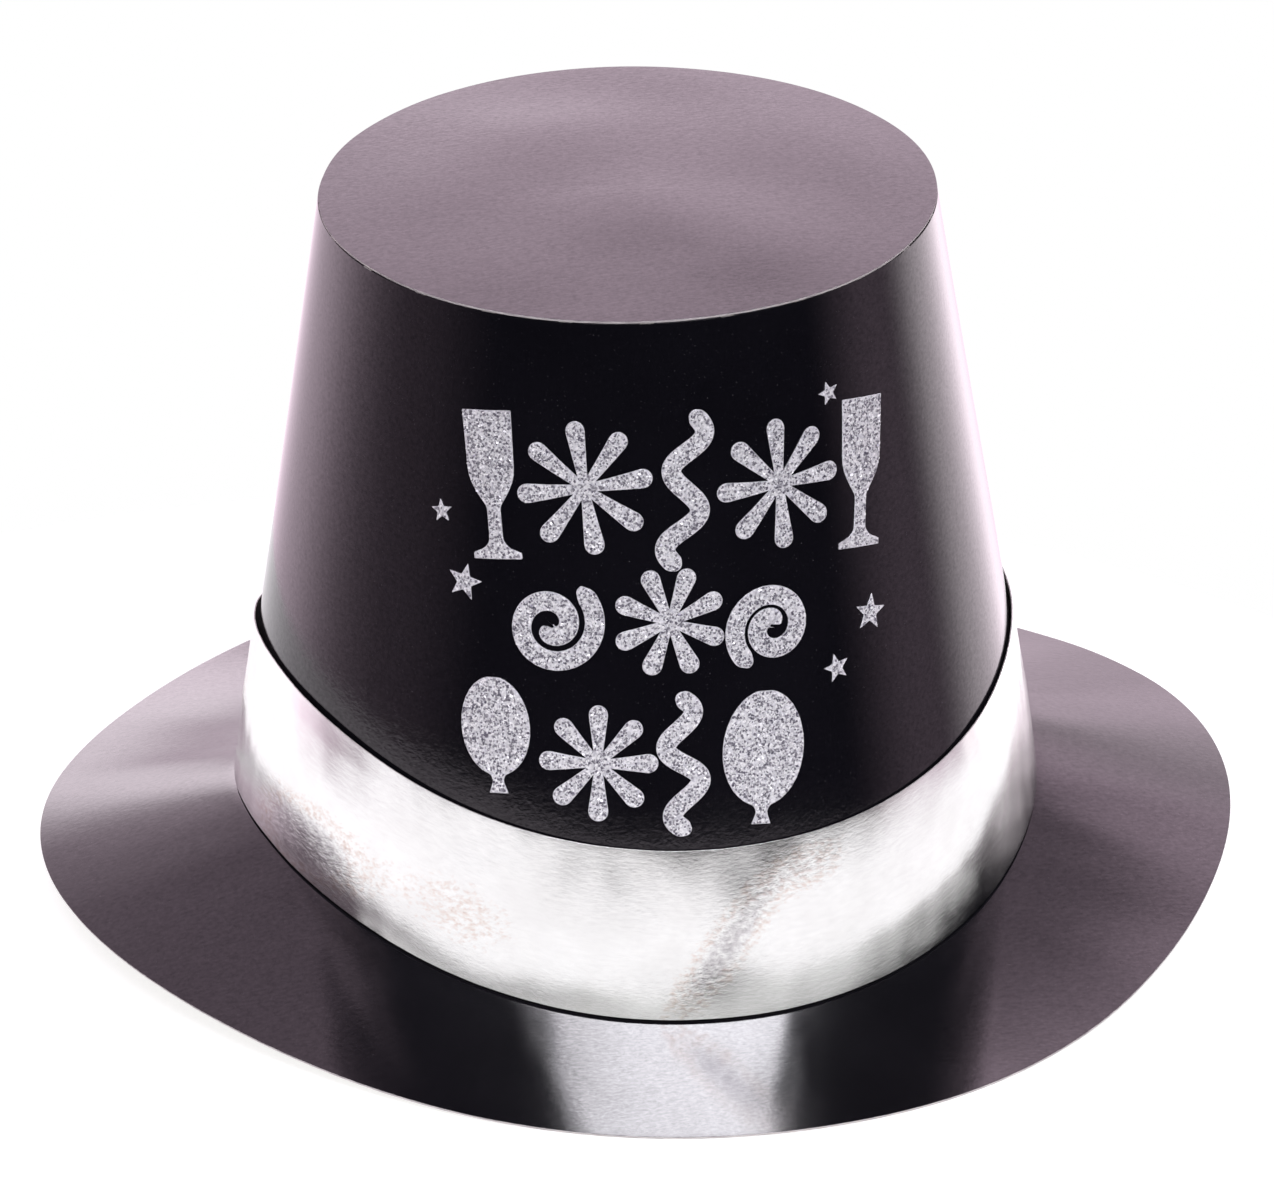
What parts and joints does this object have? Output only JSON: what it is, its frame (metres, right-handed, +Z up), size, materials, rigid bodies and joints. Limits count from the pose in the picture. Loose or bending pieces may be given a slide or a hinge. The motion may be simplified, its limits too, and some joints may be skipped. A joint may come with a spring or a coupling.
{
  "type": "new year party hat",
  "caption": "Tall tapered party hat of glossy black card with a curved brim, a silver foil band and a silver glitter print of fireworks, streamers, glasses and balloons.",
  "frame": {"origin": "centre of the footprint, on the surface that the brim's edge rests on", "axes": "+Z up through the crown's top, -Y to the wearer's front, +X to the viewer's right when the hat is seen from its front"},
  "size_m": [0.2726, 0.2936, 0.1646],
  "materials": {
    "black_card": "glossy coated black card, white core at cut edges",
    "black_card_top": "satin coated black card with a fine straight grain",
    "silver_foil": "card faced with silver foil, fine brushed texture",
    "silver_glitter": "silver glitter in clear varnish",
    "glue": "dried glue, translucent cream",
    "clear_tape": "double-sided tape, clear"
  },
  "bodies": {
    "root": {"band_seam_tape": "clear_tape", "brim": "black_card", "brim_glue_ring": "glue", "crown_seam_tape": "clear_tape", "crown_wall": "black_card", "foil_band": "silver_foil", "glitter_balloon_1": "silver_glitter", "glitter_balloon_2": "silver_glitter", "glitter_burst_1": "silver_glitter", "glitter_burst_2": "silver_glitter", "glitter_burst_3": "silver_glitter", "glitter_burst_4": "silver_glitter", "glitter_flute_1": "silver_glitter", "glitter_flute_2": "silver_glitter", "glitter_star_1": "silver_glitter", "glitter_star_2": "silver_glitter", "glitter_star_3": "silver_glitter", "glitter_star_4": "silver_glitter", "glitter_star_5": "silver_glitter", "glitter_streamer_1": "silver_glitter", "glitter_streamer_2": "silver_glitter", "glitter_swirl_1": "silver_glitter", "glitter_swirl_2": "silver_glitter", "top_disc": "black_card_top", "top_glue_ring": "glue"}
  },
  "joints": []
}
